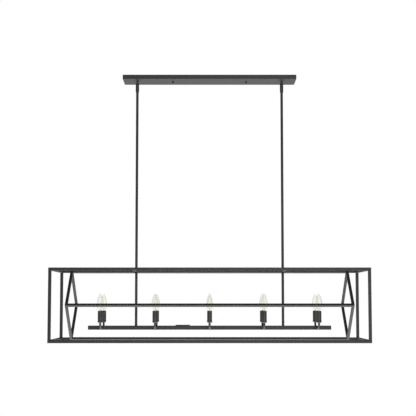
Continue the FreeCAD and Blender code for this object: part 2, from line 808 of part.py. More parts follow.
save("mounting_bar", mounting_bar())
save("mounting_studs", *mounting_studs())
save("stud_nuts", *stud_nuts())
save("ground_screw", ground_screw())
save("canopy", canopy())
save("canopy_cap_nuts", *canopy_cap_nuts())
save("swivel_seats", *swivel_seats())
save("wire_connectors", *wire_connectors())
save("supply_leads", *supply_leads())
save("swivel_balls", *swivel_balls())
save("rod_couplers", *rod_couplers())
for rod_name, rod_solid in upper_rods():
    save(rod_name, rod_solid)
save("rod_nipples", *rod_nipples())
save("crossbar_nipples", *crossbar_nipples())
for end_name, rod_x, rod_solid in zip(("left", "right"), rod_places, lower_rods()):
    save("lower_rod_" + end_name, rod_solid)
    save("crossbar_" + end_name, crossbar(rod_x))
for tube_name, tube_solid in cage_frame():
    save(tube_name, tube_solid)
save("left_diamond", *diamond(-diamond_spacing / 2))
save("right_diamond", *diamond(diamond_spacing / 2))
for rail_name, rail_solids in prism_rails().items():
    save(rail_name, *rail_solids)
save("light_bar", light_bar())
save("bar_end_caps", *bar_end_caps())
save("bar_lock_nuts", *bar_lock_nuts())
save("bar_top_cover", bar_top_cover())
save("candle_arms", *candle_arms())
save("socket_cups", *socket_cups())
save("candle_sleeves", *candle_sleeves())
save("lamp_sockets", *lamp_sockets())
save("wiring_harness", *wiring_harness())
for number, (lamp_x, lamp_y) in enumerate(candle_places, start=1):
    save("lamp_" + str(number), *lamp(lamp_x, lamp_y))
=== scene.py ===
"""Looks of the linear island pendant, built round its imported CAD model."""

import math

import bpy
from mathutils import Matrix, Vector


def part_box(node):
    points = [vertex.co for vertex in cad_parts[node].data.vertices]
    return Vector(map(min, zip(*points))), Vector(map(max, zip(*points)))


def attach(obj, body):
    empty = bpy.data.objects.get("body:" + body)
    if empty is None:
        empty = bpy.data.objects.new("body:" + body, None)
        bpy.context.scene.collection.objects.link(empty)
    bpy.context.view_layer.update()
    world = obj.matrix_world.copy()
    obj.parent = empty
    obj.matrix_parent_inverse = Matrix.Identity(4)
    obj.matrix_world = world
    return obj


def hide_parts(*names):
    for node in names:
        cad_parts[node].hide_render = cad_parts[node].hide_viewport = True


bl_info = {
    "name": "Linear Island Pendant",
    "version": (1, 0, 0),
    "blender": (4, 5, 0),
    "location": "3D View > Sidebar > Pendant",
    "description": "Lamps, wiring and finishes of a linear island pendant",
    "category": "Object",
}

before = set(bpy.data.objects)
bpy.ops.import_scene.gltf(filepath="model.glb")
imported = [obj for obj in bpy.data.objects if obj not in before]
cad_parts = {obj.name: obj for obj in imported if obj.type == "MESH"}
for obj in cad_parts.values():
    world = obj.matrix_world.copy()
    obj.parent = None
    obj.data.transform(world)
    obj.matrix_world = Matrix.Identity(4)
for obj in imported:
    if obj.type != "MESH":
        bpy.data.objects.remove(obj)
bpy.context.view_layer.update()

MM = 0.001
LAMPS = range(1, 11)
CEILING = "ceiling_assembly"

# Lamps
LAMP_LOW, LAMP_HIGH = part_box("lamp_1")
LAMP_BASE = 16 * MM  # screw base with its contact
INSULATOR_HEIGHT = 3 * MM  # foot of the screw shell over the contact's tip
CONTACT_HEIGHT = 1.5 * MM
THREAD_RINGS = 40  # steps of points up the screw shell
STEM_PINCH = (1.5, 0.55)  # width and depth of the stem's top against a round one
SUPPORT_RADIUS = 0.3 * MM
COIL_RADIUS = 0.6 * MM  # of the coil's turns
COIL_WIRE_RADIUS = 0.22 * MM
COIL_RISE = 1.6 * MM  # of the coil's middle over its ends
COIL_TURNS = 16
COIL_TURN_POINTS = 8
LAMP_POWER = 0.05  # watts, a trace beside the studio's lights
LAMP_LIGHT_RADIUS = 4 * MM
LAMP_LIGHT_RISE = 3 * MM  # over the ends of the coil

# Fittings above the canopy. The leads' route is in millimetres, as in the CAD model.
SCREW_LOW, SCREW_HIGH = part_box("ground_screw")
SCREW_RADIUS = 2 * MM
SCREW_PITCH = 0.8 * MM
SCREW_RINGS = 24
HEXAGON_HEIGHT = 1.8 * MM
SCREW_HEAD_HEIGHT = 2.6 * MM  # hexagon and washer
CONNECTOR_LOW, CONNECTOR_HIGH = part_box("wire_connectors")
CONNECTOR_LENGTH = 20 * MM
CONNECTOR_MOUTH = 12 * MM
CONNECTOR_TIP = 9 * MM
BALL_X = 360
LEAD_TURN = 32  # from a ball's middle to its lead's first bend, past the seat
LEAD_TOP = -5  # level over the balls
LEAD_FLOOR = -18.2  # level on the canopy's floor
LEAD_END = 68  # from the pendant's middle to a connector's mouth
LEAD_END_LEVEL = -13.7  # axis of the connectors

# Stage: each light's name, place, side of its square in metres and power in watts
STUDIO_LIGHTS = (
    ("front_light", (0.7, -3.5, -0.1), 2.6, 50),
    ("floor_light", (0, 0.15, -2.15), 2.2, 42),
    ("top_light", (0, -0.5, 2.5), 3.0, 9),
)
LIGHT_TARGET = (0, 0, -1.0)
FLOOR_SIDE = 80
WHITE_SHARE = 0.6  # of plain white in the floor that the camera sees, near its middle
WHITE_START = 1.2  # metres from the floor's middle where that share begins to rise
WHITE_END = 4.0  # and where the floor is all white
SKY_FADE = (-0.05, 0.45)  # rise of a ray between the full background and the dim one
SKY_OVERHEAD = 0.06  # strength of the dim one, as a share of the full one
SKY_AS_LIGHT = 0.34
SKY_IN_GLOSS = 0.46
CAMERA_SHIFT = (0.0046, 0.08)

# Colours that the panel doesn't offer
# Painted glow of the lit coil on the glass
GLASS_PAINTED_GLOW = "#FFFDF8"
# Painted shade at the glass's rims
GLASS_PAINTED_RIM_SHADE = "#E2E2DC"
GLASS_SHADOW = "#F6F6F2"
TUNGSTEN = "#3A3632"
VITRITE = "#121214"
SOLDER = "#A8AAAC"

COATED_NODES = (
    "canopy canopy_cap_nuts swivel_seats swivel_balls rod_couplers "
    "rod_1_left rod_2_left rod_3_left rod_1_right rod_2_right rod_3_right "
    "lower_rod_left lower_rod_right crossbar_left crossbar_right "
    "front_top_rail back_top_rail left_top_rail right_top_rail "
    "front_bottom_rail back_bottom_rail left_bottom_rail right_bottom_rail "
    "front_left_post front_right_post back_left_post back_right_post "
    "left_diamond right_diamond "
    "prism_top_rail prism_bottom_rail prism_front_rail prism_back_rail "
    "light_bar bar_end_caps bar_top_cover candle_arms socket_cups"
).split()
ZINC_NODES = "mounting_bar stud_nuts bar_lock_nuts rod_nipples crossbar_nipples".split()


# ---- colours and properties ----


def linear(hex_code):
    """An sRGB hex colour as linear red, green, blue and alpha."""
    parts = [int(hex_code[n : n + 2], 16) / 255 for n in (1, 3, 5)]
    straight = [
        part / 12.92 if part <= 0.04045 else ((part + 0.055) / 1.055) ** 2.4
        for part in parts
    ]
    return (*straight, 1.0)


def size_property(name, description, default):
    """A length in metres that a user may change."""
    return bpy.props.FloatProperty(
        name=name,
        description=description,
        default=default,
        min=0.0001,
        unit="LENGTH",
        precision=4,
    )


def colour_property(name, description, hex_code):
    """A colour that a user may change."""
    return bpy.props.FloatVectorProperty(
        name=name,
        description=description,
        default=linear(hex_code),
        subtype="COLOR",
        size=4,
        min=0.0,
        max=1.0,
    )


class PendantLampSizes(bpy.types.PropertyGroup):
    """Sizes of one candle lamp."""

    glass_diameter: size_property(
        "Glass diameter", "Widest part of the glass", LAMP_HIGH.x - LAMP_LOW.x
    )
    glass_length: size_property(
        "Glass length",
        "From the foot of the glass to its tip",
        LAMP_HIGH.z - LAMP_LOW.z - LAMP_BASE,
    )
    glass_wall: size_property("Glass wall", "Thickness of the glass", 0.7 * MM)
    neck_diameter: size_property("Neck diameter", "Foot of the glass", 12.8 * MM)
    neck_length: size_property("Neck length", "Straight part of the neck", 3 * MM)
    widest_height: size_property(
        "Widest height", "From the foot of the glass to its widest part", 31 * MM
    )
    nose_radius: size_property("Nose radius", "Rounded tip of the glass", 4 * MM)
    base_diameter: size_property("Base diameter", "Crest of the thread", 11.9 * MM)
    base_length: size_property("Base length", "Screw base with its contact", LAMP_BASE)
    thread_pitch: size_property("Thread pitch", "Rise of one turn", 2.54 * MM)
    thread_depth: size_property("Thread depth", "From crest to root", 0.45 * MM)
    stem_height: size_property("Stem height", "Glass stem inside the lamp", 13 * MM)
    filament_spread: size_property(
        "Filament spread", "Between the two support wires", 9 * MM
    )
    filament_height: size_property(
        "Filament height", "From the foot of the glass to the coil", 24.5 * MM
    )


class PendantWiringSizes(bpy.types.PropertyGroup):
    """Sizes of the fittings above the canopy."""

    connector_ribs: bpy.props.IntProperty(
        name="Connector ribs",
        description="Grip ribs round one twist-on connector",
        default=12,
        min=6,
        max=24,
    )
    connector_rib_height: size_property(
        "Rib height", "How far the ribs stand out", 0.5 * MM
    )
    screw_slot: size_property("Screw slot", "Width of the slot in the head", 1.0 * MM)
    lead_diameter: size_property("Lead diameter", "Over the insulation", 3.0 * MM)


class PendantColours(bpy.types.PropertyGroup):
    """Colours of the finishes."""

    coat_dark: colour_property("Coat, dark", "Darker tone of the coat", "#2A2928")
    coat_light: colour_property("Coat, light", "Lighter tone of the coat", "#343331")
    sleeve: colour_property("Sleeves", "Painted candle sleeves", "#3C3C3D")
    zinc: colour_property("Zinc", "Plated steel", "#B4B7BA")
    nickel: colour_property("Nickel", "Plated lamp bases", "#CDC6B8")
    glass: colour_property("Glass", "Clear lamp glass", "#FAFAF6")
    glow: colour_property("Glow", "Light of the filaments", "#FFFAEE")
    phenolic: colour_property("Sockets", "Moulded lamp sockets", "#211B17")
    insulation: colour_property("Insulation", "Covering of the leads", "#1C1C1D")
    live: colour_property("Live lead", "Covering of the live lead", "#232324")
    neutral: colour_property("Neutral lead", "Covering of the neutral lead", "#D9D6CC")
    earth: colour_property("Earth lead", "Covering of the earth lead", "#2F8B45")
    connector: colour_property("Connectors", "Twist-on connectors", "#C9621E")
    ground: colour_property("Earth screw", "Lacquer of the earth screw", "#2C7A3C")
    floor: colour_property("Floor", "Studio floor", "#F2F2F0")


class PendantStudio(bpy.types.PropertyGroup):
    """Camera and stage."""

    camera_distance: size_property(
        "Camera distance", "From the camera to the middle of the pendant", 4.28
    )
    camera_drop: size_property(
        "Camera drop", "From the ceiling down to the camera", 1.1256
    )
    camera_aside: bpy.props.FloatProperty(
        name="Camera aside",
        description="From the pendant's middle to the camera, to the right",
        default=-0.017,
        unit="LENGTH",
    )
    camera_tilt: bpy.props.FloatProperty(
        name="Camera tilt",
        description="How far the camera looks up",
        default=math.radians(4.09),
        subtype="ANGLE",
    )
    focal_length: bpy.props.FloatProperty(
        name="Focal length",
        description="Lens for a sensor 36 mm wide",
        default=75.28,
        unit="CAMERA",
    )
    floor_drop: size_property("Floor drop", "From the ceiling to the floor", 3.1)


# ---- modelling helpers ----


def deselect():
    """Leaves nothing selected, because an operator acts on all that is."""
    bpy.ops.object.select_all(action="DESELECT")


def take(obj):
    """Makes one object the only selected one."""
    deselect()
    obj.select_set(True)
    bpy.context.view_layer.objects.active = obj


def name_piece(obj, name):
    """Names an object and its mesh."""
    obj.name = name
    obj.data.name = name
    return obj


def apply_modifiers(obj):
    """Applies all the modifiers of an object, in their order."""
    take(obj)
    for modifier in list(obj.modifiers):
        bpy.ops.object.modifier_apply(modifier=modifier.name)
    return obj


def settle(obj):
    """Moves an object's place into its mesh."""
    take(obj)
    bpy.ops.object.transform_apply(location=True, rotation=True, scale=True)
    return obj


def smooth(obj, degrees=35):
    """Smooth faces with sharp edges where they turn by more than an angle."""
    take(obj)
    bpy.ops.object.shade_smooth_by_angle(angle=math.radians(degrees))
    return obj


def turn(name, outline, steps):
    """Spins (radius, height) points about the upright axis into one closed skin."""
    deselect()
    bpy.ops.mesh.primitive_plane_add(size=MM)
    obj = name_piece(bpy.context.object, name)
    bpy.ops.object.mode_set(mode="EDIT")
    bpy.ops.mesh.select_all(action="SELECT")
    bpy.ops.mesh.merge(type="CENTER")
    bpy.ops.transform.translate(value=(outline[0][0], 0, outline[0][1]))
    for before, after in zip(outline, outline[1:]):
        step = (after[0] - before[0], 0, after[1] - before[1])
        bpy.ops.mesh.extrude_vertices_move(TRANSFORM_OT_translate={"value": step})
    bpy.ops.mesh.select_all(action="SELECT")
    bpy.ops.mesh.spin(
        steps=steps, angle=2 * math.pi, center=(0, 0, 0), axis=(0, 0, 1)
    )
    bpy.ops.mesh.select_all(action="SELECT")
    bpy.ops.mesh.remove_doubles(threshold=MM / 100)
    bpy.ops.mesh.normals_make_consistent(inside=False)
    bpy.ops.object.mode_set(mode="OBJECT")
    return obj


def wire(name, places, radius, resolution=2):
    """A round wire along a smooth line through its control points, as a mesh."""
    deselect()
    line = bpy.data.curves.new(name, "CURVE")
    line.dimensions = "3D"
    spline = line.splines.new("NURBS")
    spline.points.add(len(places) - 1)
    for point, place in zip(spline.points, places):
        point.co = (*place, 1)
    spline.order_u = 3
    spline.use_endpoint_u = True
    line.resolution_u = resolution
    line.bevel_depth = radius
    line.bevel_resolution = 1
    line.use_fill_caps = True
    obj = bpy.data.objects.new(name, line)
    bpy.context.scene.collection.objects.link(obj)
    take(obj)
    bpy.ops.object.convert(target="MESH")
    return bpy.context.object


def join(name, first, *others):
    """Joins pieces of one part into the first."""
    take(first)
    for other in others:
        other.select_set(True)
    bpy.ops.object.join()
    return name_piece(first, name)


def copy_piece(obj, name, offset):
    """A copy of a piece with its own mesh, moved by an offset."""
    take(obj)
    bpy.ops.object.duplicate(linked=False)
    made = name_piece(bpy.context.object, name)
    bpy.ops.transform.translate(value=offset)
    return settle(made)


def cut_thread(obj, low, high, pitch, depth):
    """Sinks a helix into a turned wall. A screw operator would leave its ends open."""
    for vertex in obj.data.vertices:
        x, y, z = vertex.co
        if low < z < high:
            turns = z / pitch - math.atan2(y, x) / (2 * math.pi)
            fade = min(1.0, (z - low) / pitch, (high - z) / pitch)
            sink = depth * fade * (0.5 - 0.5 * math.cos(2 * math.pi * turns))
            radius = math.hypot(x, y)
            share = (radius - sink) / radius
            vertex.co = (x * share, y * share, z)


def arc(centre, radius, start, end, steps):
    """Points of an arc in (radius, height), its ends among them."""
    angles = [start + (end - start) * n / steps for n in range(steps + 1)]
    return [
        (centre[0] + radius * math.cos(a), centre[1] + radius * math.sin(a))
        for a in angles
    ]


def lamp_axis(number):
    """Foot of one lamp's glass: the middle of its CAD node, at the base's top."""
    low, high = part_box(f"lamp_{number}")
    base = bpy.context.scene.pendant_lamp.base_length
    return Vector(((low.x + high.x) / 2, (low.y + high.y) / 2, low.z + base))


def place_lamp_pieces(pattern, stem_name):
    """Sets a finished lamp piece at the first lamp and copies it to the others."""
    pieces = []
    for number in LAMPS:
        piece = copy_piece(pattern, f"{stem_name}_{number}", lamp_axis(number))
        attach(piece, f"bulb_{number}")
        pieces.append(piece)
    bpy.data.objects.remove(pattern)
    return pieces


# ---- materials ----


def add(tree, kind, inputs=(), **settings):
    """Adds one node with its settings, and sets or links its inputs."""
    made = tree.nodes.new("ShaderNode" + kind)
    for name, value in settings.items():
        setattr(made, name, value)
    for socket, value in dict(inputs).items():
        if isinstance(value, bpy.types.NodeSocket):
            tree.links.new(value, made.inputs[socket])
        else:
            made.inputs[socket].default_value = value
    return made


def start_material(name):
    """An empty material, with its tree, output and object coordinates."""
    material = bpy.data.materials.new(name)
    material.use_nodes = True
    tree = material.node_tree
    tree.nodes.clear()
    output = add(tree, "OutputMaterial")
    place = add(tree, "TexCoord").outputs["Object"]
    return material, tree, output, place


def coat(obj, *materials):
    """Gives an object these materials in place of its own."""
    obj.data.materials.clear()
    for material in materials:
        obj.data.materials.append(material)


def powder_coat(colours):
    """Polyester powder coat over steel, sprayed and baked: satin, with orange peel."""
    material, tree, output, place = start_material("black_powder_coat")
    # Orange peel has waves about 1.5 mm long. The film's gloss drifts over some 60 mm.
    cloud = add(tree, "TexNoise", {"Vector": place, "Scale": 16.0, "Detail": 3.0})
    peel = add(tree, "TexNoise", {"Vector": place, "Scale": 650.0, "Detail": 2.0})
    tone = add(
        tree,
        "Mix",
        {0: cloud.outputs["Fac"], 6: colours.coat_dark, 7: colours.coat_light},
        data_type="RGBA",
    )
    gloss = add(
        tree,
        "MapRange",
        {"Value": cloud.outputs["Fac"], "To Min": 0.46, "To Max": 0.56},
    )
    bump = add(
        tree,
        "Bump",
        {"Height": peel.outputs["Fac"], "Strength": 0.12, "Distance": 0.05 * MM},
    )
    surface = add(
        tree,
        "BsdfPrincipled",
        {
            "Base Color": tone.outputs[2],
            "Roughness": gloss.outputs["Result"],
            "Normal": bump.outputs["Normal"],
            "IOR": 1.5,
        },
    )
    tree.links.new(surface.outputs["BSDF"], output.inputs["Surface"])
    return material


def sleeve_paint(colours):
    """Baked enamel on drawn steel tube: smoother, with faint drawing lines up it, whose
    tone is also a painted vertical sheen.
    """
    material, tree, output, place = start_material("enamelled_drawn_tube")
    # Drawing lines are about 1 mm apart round the tube and run its whole length.
    lines = add(tree, "Mapping", {"Vector": place, "Scale": (900.0, 900.0, 14.0)})
    drawn_lines_and_sheen = add(
        tree,
        "TexNoise",
        {"Vector": lines.outputs["Vector"], "Scale": 1.0, "Detail": 2.0},
    )
    # Painted sheen: the stretched streaks also make the tone lighter and darker in
    # vertical stripes; their bump and gloss are the drawing lines.
    tone = add(
        tree,
        "Mix",
        {0: drawn_lines_and_sheen.outputs["Fac"], 6: colours.coat_light, 7: colours.sleeve},
        data_type="RGBA",
    )
    gloss = add(
        tree,
        "MapRange",
        {"Value": drawn_lines_and_sheen.outputs["Fac"], "To Min": 0.26, "To Max": 0.4},
    )
    bump = add(
        tree,
        "Bump",
        {"Height": drawn_lines_and_sheen.outputs["Fac"], "Strength": 0.3, "Distance": 0.05 * MM},
    )
    surface = add(
        tree,
        "BsdfPrincipled",
        {
            "Base Color": tone.outputs[2],
            "Roughness": gloss.outputs["Result"],
            "Normal": bump.outputs["Normal"],
            "IOR": 1.5,
        },
    )
    tree.links.new(surface.outputs["BSDF"], output.inputs["Surface"])
    return material


def plated_metal(name, colour, bright, dull, scale):
    """Electroplated metal: crystal mottling changes its gloss from place to place."""
    material, tree, output, place = start_material(name)
    # The mottle's scale comes with the metal. Handling dulls its tone over some 17 mm.
    mottle = add(tree, "TexVoronoi", {"Vector": place, "Scale": scale})
    grime = add(tree, "TexNoise", {"Vector": place, "Scale": 60.0, "Detail": 4.0})
    shade = add(
        tree,
        "MapRange",
        {"Value": grime.outputs["Fac"], "To Min": 0.78, "To Max": 1.0},
    )
    tone = add(
        tree,
        "Mix",
        {0: 1.0, 6: colour, 7: shade.outputs["Result"]},
        data_type="RGBA",
        blend_type="MULTIPLY",
    )
    gloss = add(
        tree,
        "MapRange",
        {"Value": mottle.outputs["Distance"], "To Min": bright, "To Max": dull},
    )
    surface = add(
        tree,
        "BsdfPrincipled",
        {
            "Base Color": tone.outputs[2],
            "Metallic": 1.0,
            "Roughness": gloss.outputs["Result"],
        },
    )
    tree.links.new(surface.outputs["BSDF"], output.inputs["Surface"])
    return material


def threaded_zinc(colours):
    """Zinc plated studding: the thread's bands show as a fine ripple along it, with
    painted shade darkening each groove.
    """
    material, tree, output, place = start_material("zinc_plated_studding")
    # The thread has a pitch of 0.7 mm. At scale 1 a wave texture has 20 bands a metre.
    thread = add(
        tree,
        "TexWave",
        {"Vector": place, "Scale": 1 / (20 * 0.7 * MM)},
        bands_direction="Z",
    )
    bump = add(
        tree,
        "Bump",
        {"Height": thread.outputs["Fac"], "Strength": 0.8, "Distance": 0.4 * MM},
    )
    # Painted shade: the colour falls to under half its strength in the thread's
    # grooves.
    shade = add(
        tree,
        "MapRange",
        {"Value": thread.outputs["Fac"], "To Min": 0.45, "To Max": 1.0},
    )
    tone = add(
        tree,
        "Mix",
        {0: 1.0, 6: colours.zinc, 7: shade.outputs["Result"]},
        data_type="RGBA",
        blend_type="MULTIPLY",
    )
    surface = add(
        tree,
        "BsdfPrincipled",
        {
            "Base Color": tone.outputs[2],
            "Metallic": 1.0,
            "Roughness": 0.35,
            "Normal": bump.outputs["Normal"],
        },
    )
    tree.links.new(surface.outputs["BSDF"], output.inputs["Surface"])
    return material


def moulded(name, colour, roughness, grain, relief):
    """Moulded plastic: one colour right through, with the mould's grain on its skin."""
    material, tree, output, place = start_material(name)
    skin = add(tree, "TexNoise", {"Vector": place, "Scale": 1 / grain, "Detail": 3.0})
    shade = add(
        tree,
        "MapRange",
        {"Value": skin.outputs["Fac"], "To Min": 0.85, "To Max": 1.1},
    )
    tone = add(
        tree,
        "Mix",
        {0: 1.0, 6: colour, 7: shade.outputs["Result"]},
        data_type="RGBA",
        blend_type="MULTIPLY",
    )
    gloss = add(
        tree,
        "MapRange",
        {
            "Value": skin.outputs["Fac"],
            "To Min": roughness - 0.08,
            "To Max": roughness + 0.08,
        },
    )
    bump = add(
        tree,
        "Bump",
        {"Height": skin.outputs["Fac"], "Strength": 0.4, "Distance": relief},
    )
    surface = add(
        tree,
        "BsdfPrincipled",
        {
            "Base Color": tone.outputs[2],
            "Roughness": gloss.outputs["Result"],
            "Normal": bump.outputs["Normal"],
            "IOR": 1.5,
        },
    )
    tree.links.new(surface.outputs["BSDF"], output.inputs["Surface"])
    return material


def lamp_glass(colours, painted_glow_height):
    """Blown soda glass, clear, with painted shade greying its rims and a painted creamy
    glow near the lit coil.
    """
    material, tree, output, place = start_material("clear_blown_glass")
    height = add(tree, "SeparateXYZ", {"Vector": place}).outputs["Z"]
    # Painted glow: the glass is tinted creamy up to 4 mm over the coil, fading out by
    # 24 mm over it.
    near = add(
        tree,
        "MapRange",
        {
            "Value": height,
            "From Min": painted_glow_height + 4 * MM,
            "From Max": painted_glow_height + 24 * MM,
            "To Min": 1.0,
            "To Max": 0.0,
        },
    )
    # Painted shade: the glass turns grey towards its outline, where it faces away from
    # the view.
    painted_rim_shade = add(tree, "LayerWeight", {"Blend": 0.35})
    clear = add(
        tree,
        "Mix",
        {0: near.outputs["Result"], 6: colours.glass, 7: linear(GLASS_PAINTED_GLOW)},
        data_type="RGBA",
    )
    tone = add(
        tree,
        "Mix",
        {0: painted_rim_shade.outputs["Facing"], 6: clear.outputs[2], 7: linear(GLASS_PAINTED_RIM_SHADE)},
        data_type="RGBA",
    )
    # Blowing leaves slow ripples in the wall, some 8 mm from crest to crest.
    ripple = add(tree, "TexNoise", {"Vector": place, "Scale": 120.0, "Detail": 1.0})
    bump = add(
        tree,
        "Bump",
        {"Height": ripple.outputs["Fac"], "Strength": 0.1, "Distance": 0.1 * MM},
    )
    surface = add(
        tree,
        "BsdfPrincipled",
        {
            "Base Color": tone.outputs[2],
            "Transmission Weight": 1.0,
            "Roughness": 0.0,
            "IOR": 1.46,
            "Normal": bump.outputs["Normal"],
        },
    )
    # Lamps shine through the glass, which casts no hard shadow of its own.
    rays = add(tree, "LightPath")
    clear_way = add(tree, "BsdfTransparent", {"Color": linear(GLASS_SHADOW)})
    mix = add(
        tree,
        "MixShader",
        {
            0: rays.outputs["Is Shadow Ray"],
            1: surface.outputs["BSDF"],
            2: clear_way.outputs["BSDF"],
        },
    )
    tree.links.new(mix.outputs["Shader"], output.inputs["Surface"])
    return material


def hot_filament(colours):
    """Coiled tungsten wire, lit: a warm white, a little dimmer between its turns."""
    material, tree, output, place = start_material("lit_tungsten_coil")
    # The glow changes over 0.4 mm, the thickness of the coiled wire.
    turns = add(tree, "TexNoise", {"Vector": place, "Scale": 2500.0})
    power = add(
        tree,
        "MapRange",
        {"Value": turns.outputs["Fac"], "To Min": 1.6, "To Max": 2.4},
    )
    # Seen straight or through the glass it is white hot. Its lamp does the lighting.
    rays = add(tree, "LightPath")
    seen = add(
        tree,
        "Math",
        {0: rays.outputs["Is Camera Ray"], 1: rays.outputs["Is Transmission Ray"]},
        operation="MAXIMUM",
    )
    shown = add(
        tree,
        "Math",
        {0: power.outputs["Result"], 1: seen.outputs[0]},
        operation="MULTIPLY",
    )
    surface = add(
        tree,
        "BsdfPrincipled",
        {
            "Base Color": linear(TUNGSTEN),
            "Roughness": 0.5,
            "Emission Color": colours.glow,
            "Emission Strength": shown.outputs[0],
        },
    )
    tree.links.new(surface.outputs["BSDF"], output.inputs["Surface"])
    return material


def floor_paint(colours):
    """Matt studio floor, nearly white to the camera, with the pendant's shadow."""
    material, tree, output, place = start_material("matt_studio_floor")
    dust = add(tree, "TexNoise", {"Vector": place, "Scale": 2.0, "Detail": 3.0})
    shade = add(
        tree,
        "MapRange",
        {"Value": dust.outputs["Fac"], "To Min": 0.985, "To Max": 1.0},
    )
    tone = add(
        tree,
        "Mix",
        {0: 1.0, 6: colours.floor, 7: shade.outputs["Result"]},
        data_type="RGBA",
        blend_type="MULTIPLY",
    )
    paint = add(
        tree, "BsdfDiffuse", {"Color": tone.outputs[2], "Roughness": 0.5}
    ).outputs["BSDF"]
    light = add(tree, "Emission", {"Color": (1, 1, 1, 1), "Strength": 1.0})
    rays = add(tree, "LightPath")
    looked_at = add(
        tree,
        "Math",
        {0: rays.outputs["Is Camera Ray"], 1: rays.outputs["Is Glossy Ray"]},
        operation="MAXIMUM",
    )
    looked_at = add(
        tree,
        "Math",
        {0: looked_at.outputs[0], 1: rays.outputs["Is Transmission Ray"]},
        operation="MAXIMUM",
    )
    # Away from the pendant the paint gives way to plain white, so that no edge shows.
    away = add(tree, "VectorMath", {0: place}, operation="LENGTH")
    white = add(
        tree,
        "MapRange",
        {
            "Value": away.outputs["Value"],
            "From Min": WHITE_START,
            "From Max": WHITE_END,
            "To Min": WHITE_SHARE,
            "To Max": 1.0,
        },
    )
    share = add(
        tree,
        "Math",
        {0: looked_at.outputs[0], 1: white.outputs["Result"]},
        operation="MULTIPLY",
    )
    mix = add(
        tree,
        "MixShader",
        {0: share.outputs[0], 1: paint, 2: light.outputs["Emission"]},
    )
    tree.links.new(mix.outputs["Shader"], output.inputs["Surface"])
    return material


# ---- operators ----


class PENDANT_OT_lamp_glass(bpy.types.Operator):
    """Blow the ten lamp envelopes"""

    bl_idname = "pendant.lamp_glass"
    bl_label = "Lamp glass"

    def outline(self, sizes):
        """Outside of the glass from neck to tip, on the same arcs as the CAD lamp."""
        widest = sizes.glass_diameter / 2
        neck = sizes.neck_diameter / 2
        nose = sizes.nose_radius
        level = sizes.widest_height
        nose_centre = sizes.glass_length - nose
        rise = nose_centre - level
        upper = ((widest - nose) ** 2 - rise**2) / (2 * (widest - nose))
        join_angle = math.atan2(rise, -upper)
        fall = level - sizes.neck_length
        lower = (widest**2 - neck**2 - fall**2) / (2 * (widest - neck))
        fall_angle = math.asin(fall / (widest - lower))
        points = [(neck, 0.0)]
        points += arc((lower, level), widest - lower, -fall_angle, 0.0, 8)
        points += arc((upper, level), widest - upper, 0.0, join_angle, 12)[1:]
        points += arc((0.0, nose_centre), nose, join_angle, math.pi / 2, 5)[1:]
        return points

    def execute(self, context):
        sizes = context.scene.pendant_lamp
        glass = turn("lamp_glass", self.outline(sizes), 40)
        wall = glass.modifiers.new("wall", "SOLIDIFY")
        wall.thickness = sizes.glass_wall
        wall.offset = -1.0
        apply_modifiers(glass)
        smooth(glass, 60)
        # Level of the coil, round which the glass gets its painted glow.
        warm = lamp_axis(LAMPS[0]).z + sizes.filament_height
        material = lamp_glass(context.scene.pendant_colours, warm)
        coat(glass, material)
        for number, piece in zip(LAMPS, place_lamp_pieces(glass, "lamp_glass")):
            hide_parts(f"lamp_{number}")
        return {"FINISHED"}


class PENDANT_OT_lamp_bases(bpy.types.Operator):
    """Roll the ten screw bases, each with its insulator and contact"""

    bl_idname = "pendant.lamp_bases"
    bl_label = "Lamp bases"

    def execute(self, context):
        sizes = context.scene.pendant_lamp
        colours = context.scene.pendant_colours
        outer = sizes.base_diameter / 2
        shell_foot = INSULATOR_HEIGHT - sizes.base_length
        contact_foot = CONTACT_HEIGHT - sizes.base_length
        wall = [
            (outer, shell_foot + (-0.6 * MM - shell_foot) * n / THREAD_RINGS)
            for n in range(THREAD_RINGS + 1)
        ]
        outline = [
            (0.0, -sizes.base_length),
            (1.9 * MM, -sizes.base_length),
            (2.4 * MM, 0.5 * MM - sizes.base_length),
            (2.5 * MM, contact_foot),
            (4.0 * MM, contact_foot + 0.5 * MM),
            (outer - 0.7 * MM, shell_foot - 0.3 * MM),
        ]
        top = [(outer + 0.2 * MM, -0.3 * MM), (outer, 0.0), (0.0, 0.0)]
        base = turn("lamp_base", outline + wall + top, 32)
        cut_thread(base, shell_foot, -MM, sizes.thread_pitch, sizes.thread_depth)
        smooth(base, 50)
        nickel = plated_metal("nickel_plated_shell", colours.nickel, 0.16, 0.3, 400)
        insulator = moulded("black_vitrite", linear(VITRITE), 0.2, 2 * MM, 0.05 * MM)
        solder = plated_metal("tinned_contact", linear(SOLDER), 0.35, 0.5, 900)
        coat(base, nickel, insulator, solder)
        for face in base.data.polygons:
            if face.center.z < contact_foot:
                face.material_index = 2
            elif face.center.z < shell_foot - 0.2 * MM:
                face.material_index = 1
        place_lamp_pieces(base, "lamp_base")
        return {"FINISHED"}


